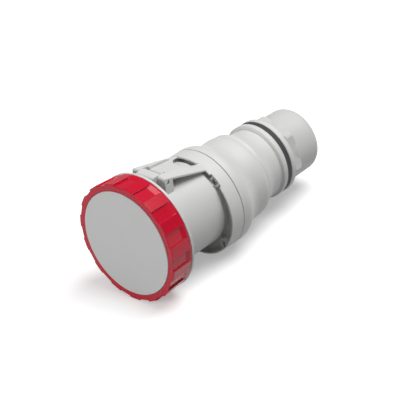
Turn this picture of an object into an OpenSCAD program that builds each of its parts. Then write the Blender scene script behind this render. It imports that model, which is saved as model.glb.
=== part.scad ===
// Inline socket of the round pin and sleeve kind, 125 A, splashproof, with a hinged lid and a locking ring.
// The axis lies along Y: the lid faces -Y, the cable leaves at +Y, and the lid's hinge is on top, at +Z.
// The origin is the middle of the lid's flat front face. Lengths are in millimetres.

/* [Lid and locking ring] */
// Thickness of the lid's plate
lid_t = 4; // [3:0.5:5]
// Outer radius of the locking ring at its front
ring_r = 65; // [64:0.5:70]
// Width of the ring round the lid, seen from the front
ring_wall = 8; // [7.5:0.1:8.5]
// Length of the locking ring along the axis
ring_len = 28; // [26:0.5:30]
// Fall of the ring's outside towards its rear
ring_fall = 1.9; // [0:0.1:2.5]
// Depth of the finger pockets in the ring
pocket_depth = 1.6; // [1:0.1:2.2]
// Number of finger pockets in the ring
pockets = 15; // [12:1:18]
// Angle that the ring turns from open to locked
lock_turn = 41; // [20:1:41]
// Angle that the lid swings open
lid_swing = 100; // [90:5:100]

/* [Front housing] */
// Distance from the ring's outside in to the sleeve
sleeve_inset = 18; // [17.5:0.1:18.5]
// Wall of the sleeve at its mouth
sleeve_wall = 4.4; // [4.1:0.1:4.6]
// Distance from the lid's face to the flange's front
flange_y = 97.5; // [94:0.5:100]
// Length of the front housing's flange
flange_len = 17; // [16:0.5:22]
// Difference in radius between both flanges and the sleeve
flange_reach = 7.2; // [7:0.1:8]
// Drop of the flange's centre below the axis
flange_drop = 4.4; // [3:0.1:4.4]
// Half width of the hinge bracket at its front
bracket_w = 22.5; // [21:0.5:24]
// Height of the bracket's top above the hinge pin's middle
bracket_rise = 5.7; // [5.5:0.1:6.2]
// Thickness of the bracket's plate
bracket_t = 4; // [3:0.5:4.5]

/* [Hinge] */
// Distance of the hinge pin behind the collar
hinge_reach = 14.7; // [14.5:0.1:16]
// Gap between the lid's hinge knuckle and the sleeve
knuckle_gap = 0.5; // [0.3:0.1:0.8]
// Radius of the hinge pin
pin_r = 2.5; // [2:0.1:2.6]
// Width of the lid's hinge knuckle
knuckle_w = 23.6; // [18:0.2:26]

/* [Contacts] */
// Radius of the pins that the phase and neutral contacts take
phase_pin_r = 5; // [4:0.5:5.5]
// Radius of the pin that the earth contact takes
earth_pin_r = 6; // [4.5:0.5:6.5]
// Radius of the pin that the pilot contact takes
pilot_pin_r = 3; // [2:0.5:3.5]
// Width of the space for the wall of the plug's sleeve
plug_gap = 5.4; // [5:0.1:5.8]
// Distance from the contact carrier's outside in to the circle on which the contacts stand
contact_edge = 12.7; // [12:0.1:13.5]
// Depth that a pin enters a contact
pin_depth = 45; // [30:1:50]

/* [Handle] */
// Difference in radius between the flange and the handle's grip
grip_drop = 8.3; // [7.5:0.1:9]
// Wall of the handle
handle_wall = 3.6; // [3:0.2:4.5]
// Length of the handle
handle_len = 83.2; // [80:0.1:90]
// Width of the lip at the handle's rear end, outside the gland's thread
lip_wall = 9.2; // [8.6:0.1:10]

/* [Cable gland] */
// Thickness of the gland's gasket
gland_gasket_t = 6; // [3:0.5:7]
// Height of the hexagon's corners above the gland's cap nut
hex_rise = 4.4; // [4:0.1:5]
// Wall of the gland's cap nut outside its thread
nut_wall = 3.5; // [3.2:0.1:4.5]
// Length of the gland's cap nut
nut_len = 46; // [43:0.1:50]
// Radius of the cable that the gland's seal grips
cable_r = 18; // [16:0.5:19]
// Distance from the cable out to the gland's thread
gland_wall = 13.5; // [13:0.1:14.5]

/* [Hidden] */
$fn = 96;

grey = [0.80, 0.81, 0.80];
lid_grey = [0.71, 0.72, 0.71];
red = [0.78, 0.09, 0.16];
rubber = [0.20, 0.20, 0.21];
insulator = [0.16, 0.17, 0.18];
brass = [0.80, 0.66, 0.32];
steel = [0.75, 0.76, 0.78];

// Clearances
slide_gap = 0.3;   // between moving faces
pin_gap = 0.06;    // running fit on the hinge pin
hold_gap = 0.02;   // pin held in the bracket, pin in a contact
thread_gap = 0.05; // screw in its thread
overlap = 0.01;    // keeps joined shapes in one solid

// Radii that follow one another from the ring inwards and outwards
lid_r = ring_r - ring_wall;
sleeve_r = ring_r - sleeve_inset;
sleeve_bore_r = sleeve_r - sleeve_wall;
carrier_r = sleeve_bore_r - plug_gap;
contact_circle_r = carrier_r - contact_edge;
flange_r = sleeve_r + flange_reach;
grip_r = flange_r - grip_drop;
thread_r = cable_r + gland_wall;
lip_r = thread_r + lip_wall;
nut_r = thread_r + nut_wall;
hex_r = nut_r + hex_rise;

// Lid, gasket and ring along the axis
ring_y = 1;
lid_edge_t = lid_t;
gasket_t = 4;
gasket_y = lid_t;
mouth_y = gasket_y + gasket_t + slide_gap;
shoulder_r = lid_r - 1.5;
shoulder_y = lid_edge_t + slide_gap;
shoulder_t = 4;
skirt_r = shoulder_r - slide_gap;
skirt_t = 4.2;
bead_y = shoulder_y + shoulder_t + slide_gap;
bead_t = 2.4;
ring_bore_r = ring_r - 5.1;
ring_end_y = ring_y + ring_len;
ring_end_r = ring_r - ring_fall;
pocket_angle = 360 / pockets / 2;
flat_share = cos(pocket_angle / 2);

// Collar behind the ring
collar_y = ring_end_y + slide_gap;
collar_t = 3;
collar_r = ring_end_r + 0.2;
collar_tube_r = ring_bore_r - slide_gap;
collar_bore_r = collar_tube_r - 1;
hook_y = ring_end_y - 2.5;
hook_t = 1.1;
hook_r = ring_bore_r + 0.6;

// Bayonet lugs
lugs = 4;
lug_r = sleeve_r + 8;
lug_y = 17;
lug_t = 4.5;
lug_half = 15;
stop_angle = 6;
ring_lug_r = sleeve_r + 5;
ring_lug_half = 12;
ring_lug_y = lug_y + lug_t + slide_gap + 0.2;
ring_lug_t = hook_y - ring_lug_y - slide_gap - 0.2;

// Front housing
nose_r = sleeve_r - 1.2;
nose_len = 5;
sleeve_end_r = sleeve_r - 1.8;
flange_end_y = flange_y + flange_len;
flange_top = flange_r - flange_drop;
flange_wall = 1.8;
channel_depth = 7;
foot_depth = 0.7;  // of the flat under both flanges, on which the part lies
carrier_seat_y = flange_end_y - 7;
carrier_seat_r = sleeve_bore_r + 1.6;
key_w = 8;
key_depth = 1.5;

// Flange screws, on a circle about the flange's own centre
screw_circle_r = flange_r - 4.2;
screw_angles = [43, 133, 227, 317];
screw_r = 1.9;
head_r = 3.2;
head_t = 2.6;
head_seat_y = flange_y + 4;
screw_end_y = flange_end_y + 11.5;
boss_r = 6;
pocket_depth_y = 2.2;
pocket_sweep = 17;

// Hinge
knuckle_r = 5.8;
hinge_y = collar_y + collar_t + hinge_reach;
hinge_z = sleeve_r + knuckle_gap + knuckle_r;
knuckle_y = hinge_y - 9.5;

// Hinge bracket
bracket_top = hinge_z + bracket_rise;
ear_y = hinge_y - 4;
ear_end_y = hinge_y + 7;
ear_gap = 0.4;
ear_in = knuckle_w / 2 + ear_gap;
ear_edge = 3.5;
bracket_spread = 2.8;
plate_fall = bracket_top - flange_top - 0.4;
side_front_r = bracket_top + 2.5;
side_end_r = flange_top + 0.6;
rail_in = 15;
rail_front_z = hinge_z + 0.2;
rail_end_z = flange_top - 7.8;
panel_depth = 1.4;
panel_w = 19;
panel_end_w = 32;
notch_r = 13.5;

// Hinge spring
spring_wire_r = 0.45;
spring_r = pin_r + 0.4 + spring_wire_r;
spring_turns = 7;
spring_pitch = 1.02;
spring_room_w = spring_turns * spring_pitch + 2 * spring_wire_r + 0.6;
spring_room_r = spring_r + spring_wire_r + 0.5;

// Contact carrier and retainer
carrier_y = mouth_y + 4;
carrier_foot_y = flange_y - 2;
carrier_foot_r = sleeve_bore_r - slide_gap;
carrier_flange_r = carrier_seat_r - slide_gap;
carrier_end_y = flange_end_y - 1;
retainer_y = carrier_end_y + 0.1;
retainer_t = 6;
retainer_end_y = retainer_y + retainer_t;
retainer_r = carrier_flange_r - 6;
contact_y = carrier_y + 4.7;
collar_len = 4;
contact_wall = 1.6;
contact_gap = 0.6;
phase_angles = [252, 324, 36];
neutral_angle = 108;
earth_angle = 180;
terminal_len = 24;
terminal_y = retainer_end_y;
wire_depth = 19;
slot_w = 1;
slot_len = 30;
groove_y = contact_y + 6;
groove_w = 3.2;
groove_depth = 0.5;
carrier_screw_circle_r = contact_circle_r + 2.5;
carrier_screw_angles = [0, 144, 216];
carrier_screw_r = 2;
carrier_screw_depth = 13;
carrier_head_r = 3.6;
carrier_head_t = 2.6;
terminal_screw_r = 2.9;
terminal_screw_rise = 3.3;
terminal_socket_depth = 4;
terminal_screw_ys = [terminal_y + 8, terminal_y + 17];

// Handle
seal_t = 0.8;
handle_y = flange_end_y + seal_t;
handle_end_y = handle_y + handle_len;
spigot_y = carrier_end_y + slide_gap;
spigot_r = carrier_seat_r - slide_gap;
spigot_bore_r = spigot_r - 2.7;
shoulder_start_y = handle_y + 6.8;
shoulder_arc_r = 16;
shoulder_slope = 31;
shoulder_len = 26;
shoulder_end_y = shoulder_start_y + shoulder_len;
shoulder_fillet_r = 27;
grip_arc_r = 14;
grip_arc_turn = 55;
grip_arc_back = 40.5;
grip_arc_y = handle_end_y - grip_arc_back;
neck_start_r = grip_r - 1.7;
neck_len = 32.5;
neck_start_y = handle_end_y - neck_len;
neck_drop = 1;
neck_fillet_r = 24;
neck_fillet_back = 14.5;
neck_fillet_y = handle_end_y - neck_fillet_back;
neck_slope = 29;
neck_r = lip_r - 3.1;
lip_len = 6;
neck_y = handle_end_y - lip_len - 1;
handle_plate_t = 4;
handle_lean = 3.3;
insert_r = 2.8;
insert_len = 8;
insert_y = handle_y + 1;
boss_end_y = insert_y + insert_len + 2.5;
thread_len = 11;

// Gland
gland_y = handle_end_y + gland_gasket_t;
gland_flange_r = lip_r - 0.1;
gland_flange_t = 6.5;
gland_flange_end_y = gland_y + gland_flange_t;
hex_len = 12;
hex_turn = 46;
nut_y = gland_flange_end_y + slide_gap;
nut_end_y = nut_y + nut_len;
nut_round = 9.5;
nut_bore_r = thread_r + thread_gap;
nut_mouth_r = cable_r + 4.9;
nut_thread_len = 25;
claw_end_y = nut_end_y - 9;
seal_wall = 7;
seal_lip = 2;
claw_bore_r = cable_r + seal_wall;
claw_y = gland_flange_end_y + 25.5;
claw_slot_w = 1.6;
claws = 8;
seal_y = claw_y - 13;
seal_len = claw_end_y - seal_y - 1;

// A profile of [radius, y] points turned about the axis, from an angle measured from the top towards +X
module turned(points, from = 0, sweep = 360) {
    rotate([0, from - 90, 0]) rotate([-90, 0, 0]) rotate_extrude(angle = sweep) polygon(points);
}

// A plain ring about the axis
module ring(inner, outer, y, length) {
    turned([[inner, y], [outer, y], [outer, y + length], [inner, y + length]]);
}

// A rod along Y, its start at y
module rod(r, y, length) {
    translate([0, y, 0]) rotate([-90, 0, 0]) cylinder(r = r, h = length);
}

// Places its children, drawn at the top, at an angle from the top towards +X and a distance from the axis
module at_angle(angle, distance = 0) {
    rotate([0, angle, 0]) translate([0, 0, distance]) children();
}

// Repeats its children at the four flange screws
module each_screw() {
    for (angle = screw_angles) translate([0, 0, -flange_drop]) at_angle(angle, screw_circle_r) children();
}

// An outline of [y, z] points made into a plate across X
module across(width, points) {
    translate([-width / 2, 0, 0]) rotate([90, 0, 90]) linear_extrude(width) polygon(points);
}

// Points of an arc about [cx, cy]
function arc(cx, cy, r, from, to, steps = 8) =
    [for (i = [0:steps]) let (a = from + (to - from) * i / steps) [cx + r * cos(a), cy + r * sin(a)]];

// Outer radius of the ring at a place along the axis
function ring_outer(y) = ring_r - ring_fall * (y - ring_y) / ring_len;

// The lid's plate with a round front edge, and the skirt whose bead snaps behind the ring's shoulder
module lid_cover() {
    edge = 0.8;
    color(lid_grey) turned(concat(
        [[0, 0]],
        arc(lid_r - edge, edge, edge, -90, 0),
        [[lid_r, lid_t], [skirt_r, lid_t], [skirt_r, bead_y],
         [skirt_r + 1, bead_y + 0.6], [skirt_r + 1, bead_y + bead_t - 0.8], [skirt_r, bead_y + bead_t],
         [skirt_r - skirt_t, bead_y + bead_t], [skirt_r - skirt_t, lid_t], [0, lid_t]]));
}

// The rubber ring inside the skirt, with a raised bead towards the housing's mouth
module lid_gasket() {
    outer = skirt_r - skirt_t - thread_gap;
    inner = sleeve_bore_r - 3;
    color(rubber) turned([[inner, gasket_y], [outer, gasket_y], [outer, gasket_y + gasket_t - 1],
        [nose_r + 1, gasket_y + gasket_t], [sleeve_bore_r - 1, gasket_y + gasket_t],
        [inner, gasket_y + gasket_t - 1]]);
}

// Collar that carries the ring from behind, and the arm with the hinge knuckle
module hinge_collar() {
    edge = 0.5;
    color(grey) difference() {
        union() {
            turned([[collar_bore_r, hook_y], [hook_r - 0.5, hook_y], [hook_r, hook_y + 0.5],
                [hook_r, hook_y + hook_t], [collar_tube_r, hook_y + hook_t], [collar_tube_r, collar_y],
                [collar_r - edge, collar_y], [collar_r, collar_y + edge],
                [collar_r, collar_y + collar_t - edge], [collar_r - edge, collar_y + collar_t],
                [collar_bore_r, collar_y + collar_t]]);
            hinge_arm();
        }
        hinge_axis() cylinder(r = pin_r + pin_gap, h = knuckle_w + 2, center = true);
        spring_room();
    }
}

// Puts its children, drawn along Z, on the hinge pin's axis
module hinge_axis() {
    translate([0, hinge_y, hinge_z]) rotate([0, 90, 0]) children();
}

// Side view of the arm: up from the collar, flat on top and round about the pin
module hinge_arm() {
    top = bracket_top - hinge_z;
    across(knuckle_w, concat(
        [[collar_y, collar_tube_r - 3.2], [collar_y, collar_tube_r + 1.4], [collar_y + collar_t, collar_tube_r + 1.4],
         [knuckle_y - 1.5, bracket_top - 3.4]],
        arc(knuckle_y + 2, bracket_top - 2.5, 2.5, 160, 90, 5),
        [[hinge_y, hinge_z + top]],
        arc(hinge_y, hinge_z, top, 90, 0, 6),
        arc(hinge_y, hinge_z, knuckle_r, 0, -110, 8),
        [[collar_y + 6, collar_tube_r - 6.5]]));
}

// Room for the spring in the middle of the knuckle, open below
module spring_room() {
    hinge_axis() cylinder(r = spring_room_r, h = spring_room_w, center = true);
    translate([-spring_room_w / 2, hinge_y - spring_room_r, hinge_z - 2 * knuckle_r])
        cube([spring_room_w, 2 * spring_room_r, 2 * knuckle_r]);
}

// The red ring: flat pads with pockets between them outside, a shoulder and bayonet lugs inside
module locking_ring() {
    edge = 0.6;
    color(red) union() {
        difference() {
            turned([[lid_r + slide_gap, ring_y], [ring_r - edge, ring_y], [ring_r, ring_y + edge],
                [ring_end_r, ring_end_y - edge], [ring_end_r - edge, ring_end_y],
                [ring_bore_r, ring_end_y], [ring_bore_r, hook_y + hook_t + slide_gap],
                [hook_r + slide_gap, hook_y + hook_t + slide_gap], [hook_r + slide_gap, hook_y - slide_gap],
                [ring_bore_r, hook_y - slide_gap], [ring_bore_r, shoulder_y + shoulder_t],
                [shoulder_r, shoulder_y + shoulder_t], [shoulder_r, shoulder_y],
                [lid_r + slide_gap, shoulder_y]]);
            for (i = [0:2 * pockets - 1]) at_angle(i * pocket_angle) pad_cut(i % 2 == 0);
        }
        for (i = [0:lugs - 1]) turned([[ring_lug_r, ring_lug_y], [ring_bore_r + 1, ring_lug_y],
            [ring_bore_r + 1, ring_lug_y + ring_lug_t], [ring_lug_r, ring_lug_y + ring_lug_t]],
            i * 360 / lugs - ring_lug_half, 2 * ring_lug_half);
    }
}

// Material cut away outside one pad: its flat, and its pocket, open in front, with a sloping rear end
module pad_cut(pocket) {
    width = 2 * ring_r * tan(pocket_angle / 2);
    high = 6;
    front = ring_y - 1;
    back = ring_end_y + 1;
    across(width, [[front, ring_outer(front) * flat_share], [back, ring_outer(back) * flat_share],
        [back, ring_r + high], [front, ring_r + high]]);
    rim = 2.2;
    slope = 5.5;
    last = ring_end_y - rim;
    if (pocket) across(width, [[front, ring_outer(front) * flat_share - pocket_depth],
        [last - slope, ring_outer(last - slope) * flat_share - pocket_depth],
        [last, ring_outer(last) * flat_share], [last, ring_r + high], [front, ring_r + high]]);
}

// Steel pin through the bracket's ears and the knuckle, its ends a little inside the ears
module hinge_pin() {
    length = 2 * bracket_w - 3;
    edge = 0.4;
    color(steel) hinge_axis() translate([0, 0, -length / 2]) rotate_extrude()
        polygon([[0, 0], [pin_r - edge, 0], [pin_r, edge], [pin_r, length - edge], [pin_r - edge, length], [0, length]]);
}

// Coil of the lid's closing spring about the pin
module hinge_spring() {
    sides = 6;
    steps = 16;
    count = spring_turns * steps;
    function coil_point(i, j) = let (turn = 360 * i / steps, side = 360 * j / sides,
        r = spring_r + spring_wire_r * cos(side))
        [r * cos(turn), r * sin(turn), spring_pitch * (i / steps - spring_turns / 2) + spring_wire_r * sin(side)];
    points = [for (i = [0:count], j = [0:sides - 1]) coil_point(i, j)];
    walls = [for (i = [0:count - 1], j = [0:sides - 1])
        [i * sides + j, i * sides + (j + 1) % sides, (i + 1) * sides + (j + 1) % sides, (i + 1) * sides + j]];
    ends = [[for (j = [sides - 1:-1:0]) j], [for (j = [0:sides - 1]) count * sides + j]];
    color(steel) hinge_axis() polyhedron(points, concat(walls, ends));
}

// Outline of both flanges: a circle whose centre lies below the axis, with the small flat under it
module flange_body(r, y, length) {
    difference() {
        translate([0, 0, -flange_drop]) rod(r, y, length);
        foot_cut(r);
    }
}

// What the flat under the flanges takes away; it follows the handle's leaning line
module foot_cut(r) {
    below = 10;
    leaning() translate([-r, flange_y - flange_len, -r - below])
        cube([2 * r, 3 * flange_len + shoulder_len, below + foot_depth]);
}

// The front half of the shell: sleeve, bayonet lugs, hinge bracket and hollow flange
module front_housing() {
    color(grey) difference() {
        union() {
            sleeve();
            bayonet_lugs();
            bracket();
            front_flange();
        }
        ring(0, sleeve_bore_r, mouth_y - 1, flange_end_y - mouth_y + 2);
        ring(0, carrier_seat_r, carrier_seat_y, flange_end_y - carrier_seat_y + 1);
        translate([-key_w / 2, mouth_y - 1, -sleeve_bore_r - key_depth])
            cube([key_w, carrier_foot_y - mouth_y + 1, 2 * key_depth]);
        for (side = [0, 1]) mirror([side, 0, 0]) translate([0, 0, -flange_drop])
            turned([[screw_circle_r - 1, flange_y - 1], [flange_r + 1, flange_y - 1],
                [flange_r + 1, flange_y + pocket_depth_y], [screw_circle_r - 1, flange_y + pocket_depth_y]],
                screw_angles[0] - pocket_sweep / 2, pocket_sweep);
        each_screw() {
            rod(head_r + 0.3, flange_y - 1, head_seat_y - flange_y + 1);
            rod(screw_r + 0.25, head_seat_y - 1, flange_end_y - head_seat_y + 2);
        }
    }
}

// Sleeve, still solid, with the nose that the lid's gasket closes
module sleeve() {
    edge = 0.6;
    turned([[0, mouth_y], [nose_r - edge, mouth_y], [nose_r, mouth_y + edge], [nose_r, mouth_y + nose_len],
        [sleeve_r, mouth_y + nose_len + 1], [sleeve_end_r, flange_y + channel_depth + 1],
        [0, flange_y + channel_depth + 1]]);
}

// Lugs that the ring's lugs turn behind, each with a stop at its end
module bayonet_lugs() {
    foot = sleeve_r - 1.5;
    for (i = [0:lugs - 1]) {
        middle = (i + 0.5) * 360 / lugs;
        turned([[foot, lug_y], [lug_r - 1, lug_y], [lug_r, lug_y + 1], [lug_r, lug_y + lug_t], [foot, lug_y + lug_t]],
            middle - lug_half, 2 * lug_half);
        turned([[foot - 0.3, lug_y + 2], [lug_r - 0.6, lug_y + 2], [lug_r - 0.6, hook_y - 0.5], [foot - 0.3, hook_y - 0.5]],
            middle + lug_half - stop_angle, stop_angle - 0.8);
    }
}

// The flange, hollow in front, with a boss round each screw
module front_flange() {
    difference() {
        flange_body(flange_r, flange_y, flange_len);
        difference() {
            flange_body(flange_r - flange_wall, flange_y - 1, channel_depth + 1);
            rod(sleeve_end_r - 0.7, flange_y - 2, channel_depth + 2);
        }
    }
    intersection() {
        flange_body(flange_r - 0.4, flange_y + 1, flange_len - 2);
        each_screw() rod(boss_r, flange_y + 1, channel_depth + 1);
    }
}

// Ears for the pin and the plate that runs back from them to the flange
module bracket() {
    difference() {
        intersection() {
            union() {
                bracket_plate();
                for (side = [0, 1]) mirror([side, 0, 0]) {
                    ear();
                    bracket_rail();
                }
            }
            turned([[0, ear_y - 5], [side_front_r + 1, ear_y - 5], [side_front_r + 1, ear_y], [side_end_r, flange_y + 1],
                [0, flange_y + 1]]);
        }
        hinge_axis() cylinder(r = pin_r + hold_gap, h = 4 * bracket_w, center = true);
    }
}

// One ear, round at its front upper edge, down to the sleeve
module ear() {
    foot = sleeve_r - 9;
    translate([(ear_in + bracket_w) / 2, 0, 0]) across(bracket_w - ear_in, concat(
        [[ear_y, foot]],
        arc(ear_y + ear_edge, bracket_top - ear_edge, ear_edge, 180, 90, 6),
        [[hinge_y + 3, bracket_top], [ear_end_y + 1, plate_z(ear_end_y + 1)], [ear_end_y, hinge_z - 3],
         [ear_end_y, foot]]));
}

// Height of the bracket plate's top at a place along the axis
function plate_z(y) = bracket_top - plate_fall * max(0, y - hinge_y - 3) / (flange_y - hinge_y - 3);

// The plate: wider towards the flange, with a sunk panel and a round notch before the flange
module bracket_plate() {
    start = ear_end_y + 0.5;
    end = flange_y + 1;
    spread = bracket_w + bracket_spread;
    difference() {
        intersection() {
            across(3 * bracket_w, [[start, plate_z(start) - bracket_t], [start, plate_z(start)],
                [end, plate_z(end)], [end, plate_z(end) - bracket_t]]);
            linear_extrude(2 * bracket_top) polygon([[-bracket_w, start - 1], [bracket_w, start - 1],
                [spread, end], [-spread, end]]);
        }
        intersection() {
            across(3 * bracket_w, [[start - 1, plate_z(start - 1) - panel_depth], [start - 1, bracket_top + 1],
                [end + 1, bracket_top + 1], [end + 1, plate_z(end + 1) - panel_depth]]);
            linear_extrude(2 * bracket_top) polygon([[-panel_w / 2, start - 2], [panel_w / 2, start - 2],
                [panel_end_w / 2, flange_y], [-panel_end_w / 2, flange_y]]);
        }
        translate([0, flange_y - 1, 0]) cylinder(r = notch_r, h = 2 * bracket_top);
        translate([-notch_r, flange_y - 1, 0]) cube([2 * notch_r, 1, 2 * bracket_top]);
    }
}

// One of the plate's two side rails, which fall with the plate and end on the flange
module bracket_rail() {
    start = ear_end_y + 0.5;
    end = flange_y + 1;
    spread = bracket_w + bracket_spread;
    intersection() {
        translate([rail_in + bracket_w, 0, 0]) across(2 * bracket_w, [[start, rail_front_z],
            [start, plate_z(start)], [end, plate_z(end)], [end, rail_end_z]]);
        linear_extrude(2 * bracket_top) polygon([[rail_in, start - 1], [bracket_w, start - 1], [spread, end],
            [rail_in + 1, end]]);
    }
}

// The insulator that holds the contacts, with a foot that fills the sleeve and a flange that seats in the housing
module contact_carrier() {
    edge = 0.8;
    color(insulator) difference() {
        turned([[0, carrier_y], [carrier_r - edge, carrier_y], [carrier_r, carrier_y + edge],
            [carrier_r, carrier_foot_y], [carrier_foot_r, carrier_foot_y], [carrier_foot_r, carrier_seat_y],
            [carrier_flange_r, carrier_seat_y], [carrier_flange_r, carrier_end_y], [0, carrier_end_y]]);
        each_contact() carrier_hole($pin);
        for (angle = carrier_screw_angles) at_angle(angle, carrier_screw_circle_r)
            rod(carrier_screw_r + thread_gap, carrier_end_y - carrier_screw_depth, carrier_screw_depth + 1);
    }
}

// Hole for one contact, wider at the rear for the contact's collar
module carrier_hole(pin) {
    hole = pin + contact_wall + contact_gap;
    rod(hole, carrier_y - 1, carrier_end_y - carrier_y + 2);
    rod(hole + 1.5, carrier_end_y - collar_len - 0.2, collar_len + 2);
}

// Repeats its children for every contact, with the radius of its pin in $pin
module each_contact() {
    for (angle = phase_angles) at_angle(angle, contact_circle_r) { $pin = phase_pin_r; children(); }
    at_angle(neutral_angle, contact_circle_r) { $pin = phase_pin_r; children(); }
    at_angle(earth_angle, contact_circle_r) { $pin = earth_pin_r; children(); }
    union() { $pin = pilot_pin_r; children(); }
}

// Rear plate that keeps the contacts in the carrier
module contact_retainer() {
    color(insulator) difference() {
        rod(retainer_r, retainer_y, retainer_t);
        each_contact() rod($pin + contact_wall + 1.1, retainer_y - 1, retainer_t + 2);
        for (angle = carrier_screw_angles) at_angle(angle, carrier_screw_circle_r)
            rod(carrier_screw_r + 0.2, retainer_y - 1, retainer_t + 2);
    }
}

// Screws that hold the plate to the carrier
module carrier_screws() {
    length = carrier_end_y - retainer_end_y;
    color(steel) for (angle = carrier_screw_angles) at_angle(angle, carrier_screw_circle_r) difference() {
        union() {
            rod(carrier_head_r, retainer_end_y, carrier_head_t);
            rod(carrier_screw_r, carrier_end_y - carrier_screw_depth + 1,
                retainer_end_y - carrier_end_y + carrier_screw_depth - 1 + overlap);
        }
        translate([-carrier_head_r, retainer_end_y + carrier_head_t - 1.2, -0.5]) cube([2 * carrier_head_r, 2, 1]);
    }
}

// One turned contact: slotted tube, collar and terminal with its wire hole
module contact(pin) {
    tube = pin + contact_wall;
    color(brass) difference() {
        turned([[0, contact_y], [tube - 0.5, contact_y], [tube, contact_y + 0.5], [tube, groove_y],
            [tube - groove_depth, groove_y], [tube - groove_depth, groove_y + groove_w], [tube, groove_y + groove_w],
            [tube, carrier_end_y - collar_len], [tube + 1.8, carrier_end_y - collar_len],
            [tube + 1.8, carrier_end_y], [tube + 0.8, carrier_end_y], [tube + 0.8, terminal_y + terminal_len],
            [0, terminal_y + terminal_len]]);
        rod(pin + hold_gap, contact_y - 1, pin_depth + 1);
        rod(wire_r(pin), terminal_y + terminal_len - wire_depth, wire_depth + 1);
        for (turn = [0, 90]) rotate([0, turn, 0])
            translate([-slot_w / 2, contact_y - 1, -2 * tube]) cube([slot_w, slot_len + 1, 4 * tube]);
        for (y = terminal_screw_ys) translate([0, y, 0]) cylinder(r = terminal_screw_r + thread_gap, h = 2 * tube);
    }
}

// Radius of a terminal's wire hole
function wire_r(pin) = pin + 0.2;

module phase_contact_1() { at_angle(phase_angles[0], contact_circle_r) contact(phase_pin_r); }
module phase_contact_2() { at_angle(phase_angles[1], contact_circle_r) contact(phase_pin_r); }
module phase_contact_3() { at_angle(phase_angles[2], contact_circle_r) contact(phase_pin_r); }
module neutral_contact() { at_angle(neutral_angle, contact_circle_r) contact(phase_pin_r); }
module earth_contact() { at_angle(earth_angle, contact_circle_r) contact(earth_pin_r); }
module pilot_contact() { contact(pilot_pin_r); }

// Spring clips that press each slotted tube onto its pin
module contact_springs() {
    clip_t = 0.8;
    color(steel) each_contact() difference() {
        ring($pin + contact_wall - groove_depth + hold_gap, $pin + contact_wall - groove_depth + clip_t,
            groove_y + 0.1, groove_w - 0.2);
        translate([-1.2, groove_y - 1, 0]) cube([2.4, groove_w + 2, 2 * $pin + 4]);
    }
}

// Grub screws that clamp the wires in the terminals
module terminal_screws() {
    socket_r = 1.7;
    color(steel) each_contact() for (y = terminal_screw_ys) translate([0, y, 0]) difference() {
        translate([0, 0, wire_r($pin) - 1.5]) cylinder(r = terminal_screw_r, h = contact_wall + terminal_screw_rise);
        translate([0, 0, wire_r($pin) + contact_wall]) cylinder(r = socket_r, h = terminal_socket_depth, $fn = 6);
    }
}

// Thin seal between the two flanges
module flange_gasket() {
    inset = 0.6;
    color(rubber) difference() {
        flange_body(flange_r - inset, flange_end_y, seal_t);
        ring(0, carrier_seat_r, flange_end_y - 1, seal_t + 2);
        each_screw() rod(screw_r + 0.2, flange_end_y - 1, seal_t + 2);
    }
}

// Screws that join the two halves of the shell, with round heads and cross slots
module flange_screws() {
    dome = 8;
    slot = 1.1;
    color(steel) each_screw() difference() {
        union() {
            intersection() {
                rod(head_r, head_seat_y - head_t, head_t);
                translate([0, head_seat_y - head_t + dome, 0]) sphere(r = dome);
            }
            rod(screw_r, head_seat_y - overlap, screw_end_y - head_seat_y);
        }
        for (turn = [0, 90]) rotate([0, turn + 45, 0])
            translate([-slot / 2, head_seat_y - head_t - 1, -2.6]) cube([slot, 2.8, 5.2]);
    }
}

// Threaded brass inserts in the handle's bosses
module flange_inserts() {
    color(brass) each_screw()
        ring(screw_r + thread_gap, insert_r, insert_y, insert_len);
}

// The rear half of the shell: flange with a round shoulder, grip, neck and lip
module rear_handle() {
    color(grey) difference() {
        union() {
            difference() {
                handle_body(0);
                foot_cut(flange_r);
            }
            handle_neck();
            ring(0, spigot_r, spigot_y, handle_y - spigot_y + 1);
        }
        difference() {
            union() {
                handle_body(handle_wall);
                handle_room();
            }
            each_screw() rod(boss_r, handle_y, boss_end_y - handle_y);
            ring(spigot_bore_r, flange_r + 5, spigot_y - 1, handle_y - spigot_y + 1 + handle_plate_t);
        }
        rod(spigot_bore_r, spigot_y - 1, handle_y - spigot_y + handle_plate_t + 2);
        each_screw() {
            rod(insert_r + hold_gap, insert_y, insert_len + 0.5);
            rod(screw_r + 0.2, handle_y - 1, screw_end_y - handle_y + 2);
        }
        rod(thread_r + thread_gap, handle_end_y - thread_len - 1, thread_len + 2);
    }
}

// Leans its children so that the grip's centre rises from the flange's towards the gland's
module leaning() {
    translate([0, handle_y, -flange_drop]) rotate([handle_lean, 0, 0]) translate([0, -handle_y, 0]) children();
}

// Flange, shoulder and grip, solid, about the leaning line; inset draws their inside instead
module handle_body(inset) {
    r = flange_r - inset;
    arc_r = shoulder_arc_r - inset;
    fillet = shoulder_fillet_r + inset;
    end_r = grip_r - inset;
    end_arc = grip_arc_r - inset;
    intersection() {
        leaning() turned(concat([[0, handle_y - 6], [r, handle_y - 6]],
            arc(r - arc_r, shoulder_start_y, arc_r, 0, shoulder_slope, 8),
            arc(end_r + fillet, shoulder_end_y, fillet, 180 + shoulder_slope, 180, 8),
            arc(end_r - end_arc, grip_arc_y, end_arc, 0, grip_arc_turn, 8),
            [[0, grip_arc_y + end_arc * sin(grip_arc_turn)]]));
        translate([-2 * r, handle_y, -2 * r]) cube([4 * r, 2 * shoulder_end_y, 4 * r]);
    }
}

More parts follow.
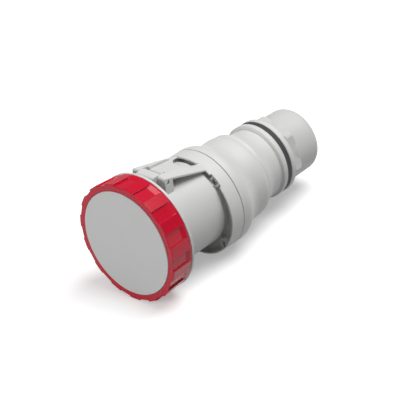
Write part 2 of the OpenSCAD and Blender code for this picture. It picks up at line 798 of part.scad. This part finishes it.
// Neck behind the grip, narrowing to the step before the lip, and the lip
module handle_neck() {
    edge = 0.6;
    translate([0, 0, -neck_drop]) turned(concat([[0, neck_start_y - 6], [neck_start_r - 1, neck_start_y - 6],
        [neck_start_r, neck_start_y]],
        arc(neck_r + 0.5 + neck_fillet_r, neck_fillet_y, neck_fillet_r, 180 + neck_slope, 180, 8),
        [[neck_r + 0.2, neck_y + 0.5], [0, neck_y + 0.5]]));
    turned([[0, neck_y], [neck_r, neck_y], [lip_r - 0.8, neck_y + 1], [lip_r, neck_y + 1 + edge],
        [lip_r, handle_end_y - edge], [lip_r - edge, handle_end_y], [0, handle_end_y]]);
}

// Room for the wires inside the grip and the neck
module handle_room() {
    room = grip_r - flange_drop - handle_wall - 0.8;
    bore = neck_r - handle_wall;
    turned([[0, handle_y + 1], [room, handle_y + 1], [room, grip_arc_y + 2], [bore, neck_fillet_y],
        [bore, handle_end_y - thread_len], [0, handle_end_y - thread_len]]);
}

// Rubber ring between the handle and the gland, with a groove round its middle
module gland_gasket() {
    r = lip_r - 0.5;
    groove = 0.5;
    middle = handle_end_y + gland_gasket_t / 2;
    color(rubber) turned([[thread_r + 0.3, handle_end_y], [r, handle_end_y], [r, middle - groove],
        [r - groove, middle], [r, middle + groove], [r, gland_y], [thread_r + 0.3, gland_y]]);
}

// Gland body: thread, round flange, and the claws that the cap nut presses on the seal
module gland_body() {
    edge = 1;
    front = handle_end_y - thread_len;
    color(grey) difference() {
        turned([[0, front], [thread_r - 1, front], [thread_r, front + 1], [thread_r, gland_y],
            [gland_flange_r - edge, gland_y], [gland_flange_r, gland_y + edge],
            [gland_flange_r, gland_flange_end_y - edge], [gland_flange_r - edge, gland_flange_end_y],
            [thread_r, gland_flange_end_y], [thread_r, claw_y - 2.5], [thread_r - 1, claw_y - 1.5],
            [claw_bore_r + 3, claw_y - 1.5], [claw_bore_r + 3, claw_end_y], [0, claw_end_y]]);
        rod(cable_r + 2.5, front - 1, claw_end_y);
        rod(claw_bore_r, seal_y, claw_end_y);
        for (i = [0:claws / 2 - 1]) rotate([0, i * 360 / claws, 0])
            translate([-claw_slot_w / 2, claw_y, -thread_r]) cube([claw_slot_w, claw_end_y, 2 * thread_r]);
    }
}

// Rubber sleeve that grips the cable
module gland_seal() {
    inner = cable_r + seal_lip;
    color(rubber) turned([[inner, seal_y], [claw_bore_r - hold_gap, seal_y],
        [claw_bore_r - hold_gap, seal_y + seal_len], [inner, seal_y + seal_len],
        [cable_r, seal_y + seal_len - seal_lip], [cable_r, seal_y + seal_lip]]);
}

// Cap nut: hexagon with soft corners, then a smooth cap with a round rear end and a wide mouth
module gland_nut() {
    draft = 0.7;
    thread_end = nut_y + nut_thread_len;
    end_t = 5;
    color(grey) difference() {
        union() {
            intersection() {
                rotate([0, hex_turn, 0]) rotate([-90, -90, 0]) translate([0, 0, nut_y])
                    cylinder(r = hex_r, h = hex_len, $fn = 6);
                turned([[0, nut_y], [hex_r - 3, nut_y], [hex_r - 0.8, nut_y + 2],
                    [hex_r - 0.8, nut_y + hex_len - 1.5], [hex_r - 2.5, nut_y + hex_len], [0, nut_y + hex_len]]);
            }
            turned(concat([[0, nut_y + 1], [nut_r - 1.6, nut_y + 1], [nut_r, nut_y + hex_len - 1]],
                arc(nut_r - draft - nut_round, nut_end_y - nut_round, nut_round, 0, 90, 10), [[0, nut_end_y]]));
        }
        turned([[0, nut_y - 1], [nut_bore_r, nut_y - 1], [nut_bore_r, thread_end], [claw_bore_r + 3.5, thread_end],
            [claw_bore_r + 3.5, claw_end_y + 0.5], [nut_mouth_r, nut_end_y - end_t], [nut_mouth_r, nut_end_y - 1],
            [nut_mouth_r + 2, nut_end_y + 1], [0, nut_end_y + 1]]);
    }
}

lid_cover();
lid_gasket();
hinge_collar();
locking_ring();
hinge_pin();
hinge_spring();
front_housing();
contact_carrier();
contact_retainer();
carrier_screws();
phase_contact_1();
phase_contact_2();
phase_contact_3();
neutral_contact();
earth_contact();
pilot_contact();
contact_springs();
terminal_screws();
flange_gasket();
flange_screws();
flange_inserts();
rear_handle();
gland_gasket();
gland_body();
gland_seal();
gland_nut();
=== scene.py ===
import math

import bmesh
import bpy
from mathutils import Matrix, Vector


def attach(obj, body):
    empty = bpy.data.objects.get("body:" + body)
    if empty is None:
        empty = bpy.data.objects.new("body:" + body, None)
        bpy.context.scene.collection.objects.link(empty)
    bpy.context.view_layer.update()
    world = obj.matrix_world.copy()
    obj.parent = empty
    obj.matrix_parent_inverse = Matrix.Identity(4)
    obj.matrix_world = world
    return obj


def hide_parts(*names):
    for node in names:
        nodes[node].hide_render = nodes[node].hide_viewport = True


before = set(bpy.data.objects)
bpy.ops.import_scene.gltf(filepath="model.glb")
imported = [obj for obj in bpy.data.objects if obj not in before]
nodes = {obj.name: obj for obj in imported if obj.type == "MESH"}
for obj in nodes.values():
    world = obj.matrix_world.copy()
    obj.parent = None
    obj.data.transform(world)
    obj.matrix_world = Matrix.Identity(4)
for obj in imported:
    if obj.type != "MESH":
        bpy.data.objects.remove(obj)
scene = bpy.context.scene
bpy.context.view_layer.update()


# Materials

SHADE_SCALE = 18.0  # Slow changes of colour and gloss over the part
GRAIN_SCALE = 900.0  # Fine grain of moulded plastic
GRAIN_DEPTH = 0.0002
GLOSS_SPREAD = 0.04  # Roughness differs by this much to either side
EDGE_RADIUS = 0.0004  # Softened edges
MARK_SCALE = 400.0  # Fine marks across metal
MARK_SHADE = 0.9
FACTOR_IN, FIRST_COLOR_IN, SECOND_COLOR_IN, COLOR_OUT = 0, 6, 7, 2  # Sockets of a Mix node set to colours


def linear(rgb):
    """Screen colour, 0 to 255, as linear light, by the sRGB curve."""
    return [((c / 255 + 0.055) / 1.055) ** 2.4 if c > 10 else c / 255 / 12.92 for c in rgb]


def material(name):
    """A new node material: returns it, its node tree and its surface shader."""
    m = bpy.data.materials.new(name)
    m.use_nodes = True
    return m, m.node_tree, m.node_tree.nodes["Principled BSDF"]


def add(tree, kind, **values):
    """A new node, with each value given to the input of that name, or else to the setting."""
    node = tree.nodes.new(kind)
    for key, value in values.items():
        if key in node.inputs:
            node.inputs[key].default_value = value
        else:
            setattr(node, key, value)
    return node


def add_noise(tree, place, scale, detail):
    """Noise that stays fixed to the object."""
    noise = add(tree, "ShaderNodeTexNoise", Scale=scale, Detail=detail)
    tree.links.new(place.outputs["Object"], noise.inputs["Vector"])
    return noise


def add_range(tree, source, ends, source_ends=(0.0, 1.0)):
    """A number that goes from one end to the other as its source does."""
    span = add(tree, "ShaderNodeMapRange")
    span.inputs["From Min"].default_value, span.inputs["From Max"].default_value = source_ends
    span.inputs["To Min"].default_value, span.inputs["To Max"].default_value = ends
    tree.links.new(source, span.inputs["Value"])
    return span.outputs["Result"]


def shade(tree, shader, noise, first, second):
    """Colours the surface between two colours, by the noise."""
    mix = add(tree, "ShaderNodeMix", data_type="RGBA")
    mix.inputs[FIRST_COLOR_IN].default_value = [*first, 1]
    mix.inputs[SECOND_COLOR_IN].default_value = [*second, 1]
    tree.links.new(noise.outputs["Fac"], mix.inputs[FACTOR_IN])
    tree.links.new(mix.outputs[COLOR_OUT], shader.inputs["Base Color"])


def plastic(name, color, rough, mottle=0.02, grain=0.02, specular=0.5, edge=EDGE_RADIUS):
    """Moulded plastic: colour that varies faintly, fine surface grain, slightly uneven gloss, soft edges."""
    m, tree, shader = material(name)
    place = add(tree, "ShaderNodeTexCoord")
    slow = add_noise(tree, place, SHADE_SCALE, 3.0)
    darker = [c * (1 - mottle) for c in color]
    lighter = [min(1, c * (1 + mottle)) for c in color]
    shade(tree, shader, slow, darker, lighter)
    fine = add_noise(tree, place, GRAIN_SCALE, 2.0)
    edges = add(tree, "ShaderNodeBevel", samples=6, Radius=edge)
    bump = add(tree, "ShaderNodeBump", Strength=grain, Distance=GRAIN_DEPTH)
    tree.links.new(edges.outputs["Normal"], bump.inputs["Normal"])
    tree.links.new(fine.outputs["Fac"], bump.inputs["Height"])
    tree.links.new(bump.outputs["Normal"], shader.inputs["Normal"])
    gloss = add_range(tree, slow.outputs["Fac"], (rough - GLOSS_SPREAD, rough + GLOSS_SPREAD))
    tree.links.new(gloss, shader.inputs["Roughness"])
    shader.inputs["Specular IOR Level"].default_value = specular
    return m


def metal(name, color, rough):
    """Turned or plated metal with fine marks across it."""
    m, tree, shader = material(name)
    marks = add_noise(tree, add(tree, "ShaderNodeTexCoord"), MARK_SCALE, 4.0)
    shade(tree, shader, marks, [c * MARK_SHADE for c in color], color)
    shader.inputs["Metallic"].default_value = 1.0
    shader.inputs["Roughness"].default_value = rough
    return m


BODY = plastic("body_grey", linear((206, 206, 205)), rough=0.46, mottle=0.012, specular=0.35)
# Painted shade: the gland nut is a darker copy of the body grey, to make up for the strong light on it
NUT_PAINTED_SHADE = plastic("nut_grey_painted_shade", linear((197, 197, 196)), rough=0.52, mottle=0.012)
# Painted light: the lid is a lighter copy of the body grey, to make up for the weak light on its
# front-facing disc
LID_PAINTED_LIGHT = plastic("lid_grey", linear((210, 211, 210)), rough=0.55, mottle=0.01, grain=0.04)
RED = plastic("ring_red", linear((193, 5, 42)), rough=0.2, grain=0.01, specular=0.27, edge=0.0012)
RUBBER = plastic("black_rubber", linear((62, 62, 64)), rough=0.7, mottle=0.05, grain=0.05)
INSULATOR = plastic("insulator_black", linear((44, 45, 48)), rough=0.5, mottle=0.04)
BRASS = metal("brass", linear((214, 178, 96)), rough=0.28)
STEEL = metal("steel", linear((178, 180, 184)), rough=0.35)

FINISH = {
    "lid_cover": LID_PAINTED_LIGHT, "gland_nut": NUT_PAINTED_SHADE, "locking_ring": RED, "lid_gasket": RUBBER,
    "flange_gasket": RUBBER, "gland_gasket": RUBBER, "gland_seal": RUBBER,
    "contact_carrier": INSULATOR, "contact_retainer": INSULATOR,
    "hinge_pin": STEEL, "hinge_spring": STEEL, "carrier_screws": STEEL, "contact_springs": STEEL,
    "terminal_screws": STEEL, "flange_screws": STEEL, "flange_inserts": BRASS,
    "phase_contact_1": BRASS, "phase_contact_2": BRASS, "phase_contact_3": BRASS,
    "neutral_contact": BRASS, "earth_contact": BRASS, "pilot_contact": BRASS,
}
for name, node in nodes.items():
    node.data.materials.clear()
    node.data.materials.append(FINISH.get(name, BODY))


# The front housing again: its sleeve steps inwards inside the flange's recess, so that the recess
# shows, and the panel between the bracket's rails lies deeper. Metres, in the frame's axes.

SLEEVE_FRONT = (0.0143, 0.047)  # Place along the axis, and radius
SLEEVE_END = (0.1045, 0.0452)
STEP_Y = 0.0953
STEP_RUN = 0.0003
RECESS_R = 0.0430
STEP_FADE = (-0.040, -0.030)  # No step below the first height, the whole step above the second
PANEL_FRONT = (0.050, 0.0576)  # Place along the axis, and height
PANEL_END = (0.0975, 0.0488)
PANEL_HALF = 0.0165
PANEL_DEEPER = 0.0017
ON_FACE = 3e-5  # A point this near a face lies on it
SLEEVE_ROOM = 0.001  # Share of the sleeve's length taken in past its ends
PANEL_ROOM = 0.001  # Taken in past the panel's end
PAST_CUT = 1e-6
SMOOTH_ANGLE = math.radians(30)


def ease(value, start, end):
    """0 up to the start, 1 from the end on, and a smooth rise between them."""
    t = min(1.0, max(0.0, (value - start) / (end - start)))
    return t * t * (3 - 2 * t)


def on_sleeve(point):
    """True on the outside of the sleeve."""
    (y0, r0), (y1, r1) = SLEEVE_FRONT, SLEEVE_END
    along = (point.y - y0) / (y1 - y0)
    off = math.hypot(point.x, point.z) - r0 - (r1 - r0) * along
    return -SLEEVE_ROOM < along < 1 + SLEEVE_ROOM and abs(off) < ON_FACE


def on_panel(point):
    """True on the sunk face between the rails."""
    (y0, z0), (y1, z1) = PANEL_FRONT, PANEL_END
    off = point.z - z0 - (z1 - z0) * (point.y - y0) / (y1 - y0)
    return y0 < point.y < y1 + PANEL_ROOM and abs(point.x) < PANEL_HALF and abs(off) < ON_FACE


def cut_sleeve(bm, y):
    """Adds a row of points round the sleeve at y."""
    faces = [f for f in bm.faces if all(on_sleeve(v.co) for v in f.verts)]
    rims = dict.fromkeys(part for f in faces for part in (*f.edges, *f.verts))
    bmesh.ops.bisect_plane(bm, geom=faces + list(rims), plane_co=(0, y, 0), plane_no=(0, 1, 0))


def stepped_housing(node):
    """A copy of the housing with both changes."""
    bm = bmesh.new()
    bm.from_mesh(node.data)
    bm.transform(node.matrix_world)
    behind_step = STEP_Y + STEP_RUN
    cut_sleeve(bm, STEP_Y)
    cut_sleeve(bm, behind_step)
    for v in bm.verts:
        if v.co.y > behind_step - PAST_CUT and on_sleeve(v.co):
            radius = math.hypot(v.co.x, v.co.z)
            smaller = 1 - (radius - RECESS_R) / radius * ease(v.co.z, *STEP_FADE)
            v.co = (v.co.x * smaller, v.co.y, v.co.z * smaller)
        elif on_panel(v.co):
            v.co.z -= PANEL_DEEPER
    mesh = bpy.data.meshes.new("front_housing_shape")
    bm.to_mesh(mesh)
    bm.free()
    if "custom_normal" in mesh.attributes:
        mesh.attributes.remove(mesh.attributes["custom_normal"])
    mesh.set_sharp_from_angle(angle=SMOOTH_ANGLE)
    mesh.materials.clear()
    mesh.materials.append(BODY)
    piece = bpy.data.objects.new("front_housing_shape", mesh)
    scene.collection.objects.link(piece)
    return piece


housing = stepped_housing(nodes["front_housing"])
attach(housing, "shell")
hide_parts("front_housing")


# Floor: the part lies on its ring and on the flat under its flanges, so the floor touches both

FLOOR_SIZE = 30.0
FLOOR_GAP = 0.0002
RING_REST = (0.0016, -0.0646)  # Place along the axis, and height
FLANGE_REST = (0.1184, -0.0578)
THROWN_GREYS = (0.29, 0.31)  # For the light that the floor throws back, in large faint clouds
CLOUD_SCALE = 3.0
SEEN_GREY = 0.9
GLOW = (0.31, 0.6)  # Near the part, where its shadow shows, and far from it
GLOW_REACH = (0.25, 0.7)  # How far from the part the first glow ends and the second starts


def floor_material():
    """Pale floor: white to the camera with the part's shadow kept, duller to the light it throws back."""
    m, tree, shader = material("floor")
    place = add(tree, "ShaderNodeTexCoord")
    cloud = add_noise(tree, place, CLOUD_SCALE, 2.0)
    shade(tree, shader, cloud, [THROWN_GREYS[0]] * 3, [THROWN_GREYS[1]] * 3)
    shader.inputs["Roughness"].default_value = 0.9
    shader.inputs["Specular IOR Level"].default_value = 0.1

    path = add(tree, "ShaderNodeLightPath")
    seen = path.outputs["Is Camera Ray"]
    for ray in ("Is Glossy Ray", "Is Transmission Ray"):
        either = add(tree, "ShaderNodeMath", operation="MAXIMUM")
        tree.links.new(seen, either.inputs[0])
        tree.links.new(path.outputs[ray], either.inputs[1])
        seen = either.outputs[0]

    pale = add(tree, "ShaderNodeBsdfDiffuse", Color=(SEEN_GREY, SEEN_GREY, SEEN_GREY, 1))
    away = add(tree, "ShaderNodeVectorMath", operation="LENGTH")
    tree.links.new(place.outputs["Object"], away.inputs[0])
    glow = add(tree, "ShaderNodeEmission")
    tree.links.new(add_range(tree, away.outputs["Value"], GLOW, GLOW_REACH), glow.inputs["Strength"])
    glowing = add(tree, "ShaderNodeAddShader")
    tree.links.new(pale.outputs[0], glowing.inputs[0])
    tree.links.new(glow.outputs[0], glowing.inputs[1])

    pick = add(tree, "ShaderNodeMixShader")
    tree.links.new(seen, pick.inputs[0])
    tree.links.new(shader.outputs[0], pick.inputs[1])
    tree.links.new(glowing.outputs[0], pick.inputs[2])
    tree.links.new(pick.outputs[0], tree.nodes["Material Output"].inputs["Surface"])
    return m


def make_floor():
    """A large square, tilted so that it passes just below both resting places."""
    (front_y, front_z), (rear_y, rear_z) = RING_REST, FLANGE_REST
    slope = math.atan2(rear_z - front_z, rear_y - front_y)
    h = FLOOR_SIZE / 2
    mesh = bpy.data.meshes.new("floor")
    mesh.from_pydata([(-h, -h, 0), (h, -h, 0), (h, h, 0), (-h, h, 0)], [], [(0, 1, 2, 3)])
    mesh.materials.append(floor_material())
    o = bpy.data.objects.new("floor", mesh)
    place = Vector((0, front_y, front_z - FLOOR_GAP))
    o.matrix_world = Matrix.Translation(place) @ Matrix.Rotation(slope, 4, "X")
    scene.collection.objects.link(o)
    return o


floor = make_floor()


# Light: a broad lamp high on the right as the camera sees it, a weaker one that faces the lid,
# and a white world

PART_CENTRE = Vector((0.0, 0.12, 0.0))


def area(name, place, size, power):
    """A round lamp that faces the part."""
    light = bpy.data.lights.new(name, "AREA")
    light.shape = "DISK"
    light.size = size
    light.energy = power
    o = bpy.data.objects.new(name, light)
    o.location = place
    o.rotation_euler = (PART_CENTRE - Vector(place)).to_track_quat("-Z", "Y").to_euler()
    scene.collection.objects.link(o)


area("key", place=(0.34, 0.42, 1.2), size=1.05, power=16.2)
area("front", place=(-0.1, -1.5, 0.6), size=0.9, power=11.0)

world = bpy.data.worlds.new("world")
scene.world = world
world.use_nodes = True
world.node_tree.nodes["Background"].inputs["Color"].default_value = (1, 1, 1, 1)
world.node_tree.nodes["Background"].inputs["Strength"].default_value = 0.27


# Camera: fitted to the photo's outline

SENSOR_WIDTH = 36
PHOTO_WIDTH = 400  # Pixels
FOCAL_LENGTH = 3024.28  # In the same pixels


def photo_camera(azimuth, elevation, roll, distance, aim):
    """A camera that looks at aim from the distance, with its angles in degrees."""
    a, e, r = (math.radians(v) for v in (azimuth, elevation, roll))
    back = Vector((math.sin(a) * math.cos(e), -math.cos(a) * math.cos(e), math.sin(e)))
    level_right = Vector((math.cos(a), math.sin(a), 0))
    level_up = back.cross(level_right)
    right = math.cos(r) * level_right + math.sin(r) * level_up
    up = -math.sin(r) * level_right + math.cos(r) * level_up
    camera = bpy.data.cameras.new("camera")
    camera.sensor_width = SENSOR_WIDTH
    camera.sensor_fit = "HORIZONTAL"
    camera.lens = FOCAL_LENGTH * SENSOR_WIDTH / PHOTO_WIDTH
    camera.clip_end = 100
    camera.dof.use_dof = False
    o = bpy.data.objects.new("camera", camera)
    m = Matrix((right, up, back)).transposed().to_4x4()
    m.translation = Vector(aim) + back * distance
    o.matrix_world = m
    scene.collection.objects.link(o)
    return o


scene.camera = photo_camera(
    azimuth=46.821, elevation=28.96, roll=-7.819, distance=3.0, aim=(0.041857, 0.06885, 0.028481))
scene.view_settings.view_transform = "Standard"
